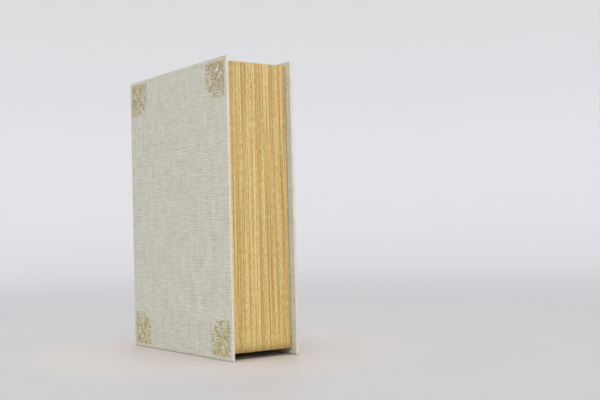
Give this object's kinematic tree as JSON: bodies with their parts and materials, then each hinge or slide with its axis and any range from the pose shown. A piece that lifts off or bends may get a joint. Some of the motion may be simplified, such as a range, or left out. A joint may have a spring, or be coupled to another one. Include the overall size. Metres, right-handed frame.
{
  "type": "hardcover book",
  "caption": "Thick cloth-bound devotional book with gilt page edges and gold corner ornaments; covers open on cloth joints and fan the leaves and outer sections.",
  "frame": {"origin": "middle of the footprint on the surface the book stands on", "axes": "+Z from tail to head, +X from the spine to the fore-edge, +Y from the front cover to the rear cover"},
  "size_m": [0.147, 0.0559, 0.21],
  "materials": {
    "linen_cloth": "coarse slubbed bookbinding linen, matt",
    "greyboard": "grey millboard",
    "kraft_paper": "brown kraft paper",
    "mull": "starched open-weave cotton",
    "endpaper": "smooth cream endpaper",
    "gold_foil": "matt pale gold stamping foil",
    "tape": "woven linen tape",
    "thread": "waxed linen thread",
    "end_band": "striped woven silk band",
    "gilt_pages": "paper leaves with matt gilt edges"
  },
  "bodies": {
    "text_block": {"spine_board": "greyboard", "spine_cloth": "linen_cloth", "spine_hollow": "kraft_paper", "spine_mull": "mull", "sewing_tapes": "tape", "sewing_threads": "thread", "head_band": "end_band", "tail_band": "end_band", "section_05": "gilt_pages", "section_06": "gilt_pages", "section_07": "gilt_pages", "section_08": "gilt_pages", "section_09": "gilt_pages", "section_10": "gilt_pages", "section_11": "gilt_pages", "section_12": "gilt_pages"},
    "front_cover": {"front_board": "greyboard", "front_cover_cloth": "linen_cloth", "front_board_infill": "kraft_paper", "front_mull_flange": "mull", "front_pastedown": "endpaper", "front_corner_foils": "gold_foil"},
    "rear_cover": {"rear_board": "greyboard", "rear_cover_cloth": "linen_cloth", "rear_board_infill": "kraft_paper", "rear_mull_flange": "mull", "rear_pastedown": "endpaper"},
    "section_01": {"section_01": "gilt_pages", "front_endpaper_stub": "endpaper"},
    "section_02": {"section_02": "gilt_pages"},
    "section_03": {"section_03": "gilt_pages"},
    "section_04": {"section_04": "gilt_pages"},
    "section_13": {"section_13": "gilt_pages"},
    "section_14": {"section_14": "gilt_pages"},
    "section_15": {"section_15": "gilt_pages"},
    "section_16": {"section_16": "gilt_pages", "rear_endpaper_stub": "endpaper"},
    "front_flyleaf": {"front_flyleaf": "endpaper"},
    "presentation_leaf": {"presentation_leaf": "gilt_pages"},
    "title_leaf": {"title_leaf": "gilt_pages"},
    "contents_leaf": {"contents_leaf": "gilt_pages"},
    "rear_flyleaf": {"rear_flyleaf": "endpaper"},
    "map_leaf": {"map_leaf": "gilt_pages"},
    "index_leaf": {"index_leaf": "gilt_pages"},
    "notes_leaf": {"notes_leaf": "gilt_pages"}
  },
  "joints": [
    {"name": "front_cover_hinge", "type": "hinge", "parent": "text_block", "child": "front_cover", "pos_m": [-0.0715, -0.0279, 0.105], "axis": [0, 0, -1], "range_deg": [0, 175]},
    {"name": "rear_cover_hinge", "type": "hinge", "parent": "text_block", "child": "rear_cover", "pos_m": [-0.0715, 0.0279, 0.105], "axis": [0, 0, 1], "range_deg": [0, 175]},
    {"name": "section_01_fold", "type": "hinge", "parent": "text_block", "child": "section_01", "pos_m": [-0.07, -0.02545, 0.10595], "axis": [0, 0, -1], "range_deg": [0, 87.5]},
    {"name": "section_02_fold", "type": "hinge", "parent": "text_block", "child": "section_02", "pos_m": [-0.07, -0.02134, 0.10595], "axis": [0, 0, -1], "range_deg": [0, 42]},
    {"name": "section_03_fold", "type": "hinge", "parent": "text_block", "child": "section_03", "pos_m": [-0.07, -0.01829, 0.10595], "axis": [0, 0, -1], "range_deg": [0, 19.25]},
    {"name": "section_04_fold", "type": "hinge", "parent": "text_block", "child": "section_04", "pos_m": [-0.07, -0.01523, 0.10595], "axis": [0, 0, -1], "range_deg": [0, 8.75]},
    {"name": "front_flyleaf_turn", "type": "hinge", "parent": "section_01", "child": "front_flyleaf", "pos_m": [-0.065, -0.02545, 0.10595], "axis": [0, 0, -1], "range_deg": [0, 80.5]},
    {"name": "presentation_leaf_turn", "type": "hinge", "parent": "section_01", "child": "presentation_leaf", "pos_m": [-0.065, -0.02545, 0.10595], "axis": [0, 0, -1], "range_deg": [0, 63]},
    {"name": "title_leaf_turn", "type": "hinge", "parent": "section_01", "child": "title_leaf", "pos_m": [-0.065, -0.02545, 0.10595], "axis": [0, 0, -1], "range_deg": [0, 43.75]},
    {"name": "contents_leaf_turn", "type": "hinge", "parent": "section_01", "child": "contents_leaf", "pos_m": [-0.065, -0.02545, 0.10595], "axis": [0, 0, -1], "range_deg": [0, 22.75]},
    {"name": "section_16_fold", "type": "hinge", "parent": "text_block", "child": "section_16", "pos_m": [-0.07, 0.02545, 0.10595], "axis": [0, 0, 1], "range_deg": [0, 87.5]},
    {"name": "section_15_fold", "type": "hinge", "parent": "text_block", "child": "section_15", "pos_m": [-0.07, 0.02134, 0.10595], "axis": [0, 0, 1], "range_deg": [0, 42]},
    {"name": "section_14_fold", "type": "hinge", "parent": "text_block", "child": "section_14", "pos_m": [-0.07, 0.01829, 0.10595], "axis": [0, 0, 1], "range_deg": [0, 19.25]},
    {"name": "section_13_fold", "type": "hinge", "parent": "text_block", "child": "section_13", "pos_m": [-0.07, 0.01523, 0.10595], "axis": [0, 0, 1], "range_deg": [0, 8.75]},
    {"name": "rear_flyleaf_turn", "type": "hinge", "parent": "section_16", "child": "rear_flyleaf", "pos_m": [-0.065, 0.02545, 0.10595], "axis": [0, 0, 1], "range_deg": [0, 80.5]},
    {"name": "map_leaf_turn", "type": "hinge", "parent": "section_16", "child": "map_leaf", "pos_m": [-0.065, 0.02545, 0.10595], "axis": [0, 0, 1], "range_deg": [0, 63]},
    {"name": "index_leaf_turn", "type": "hinge", "parent": "section_16", "child": "index_leaf", "pos_m": [-0.065, 0.02545, 0.10595], "axis": [0, 0, 1], "range_deg": [0, 43.75]},
    {"name": "notes_leaf_turn", "type": "hinge", "parent": "section_16", "child": "notes_leaf", "pos_m": [-0.065, 0.02545, 0.10595], "axis": [0, 0, 1], "range_deg": [0, 22.75]}
  ],
  "couplings": [
    {"joint": "section_01_fold", "follows": "front_cover_hinge", "ratio": 0.5},
    {"joint": "section_02_fold", "follows": "front_cover_hinge", "ratio": 0.24},
    {"joint": "section_03_fold", "follows": "front_cover_hinge", "ratio": 0.11},
    {"joint": "section_04_fold", "follows": "front_cover_hinge", "ratio": 0.05},
    {"joint": "front_flyleaf_turn", "follows": "front_cover_hinge", "ratio": 0.46},
    {"joint": "presentation_leaf_turn", "follows": "front_cover_hinge", "ratio": 0.36},
    {"joint": "title_leaf_turn", "follows": "front_cover_hinge", "ratio": 0.25},
    {"joint": "contents_leaf_turn", "follows": "front_cover_hinge", "ratio": 0.13},
    {"joint": "section_16_fold", "follows": "rear_cover_hinge", "ratio": 0.5},
    {"joint": "section_15_fold", "follows": "rear_cover_hinge", "ratio": 0.24},
    {"joint": "section_14_fold", "follows": "rear_cover_hinge", "ratio": 0.11},
    {"joint": "section_13_fold", "follows": "rear_cover_hinge", "ratio": 0.05},
    {"joint": "rear_flyleaf_turn", "follows": "rear_cover_hinge", "ratio": 0.46},
    {"joint": "map_leaf_turn", "follows": "rear_cover_hinge", "ratio": 0.36},
    {"joint": "index_leaf_turn", "follows": "rear_cover_hinge", "ratio": 0.25},
    {"joint": "notes_leaf_turn", "follows": "rear_cover_hinge", "ratio": 0.13}
  ]
}
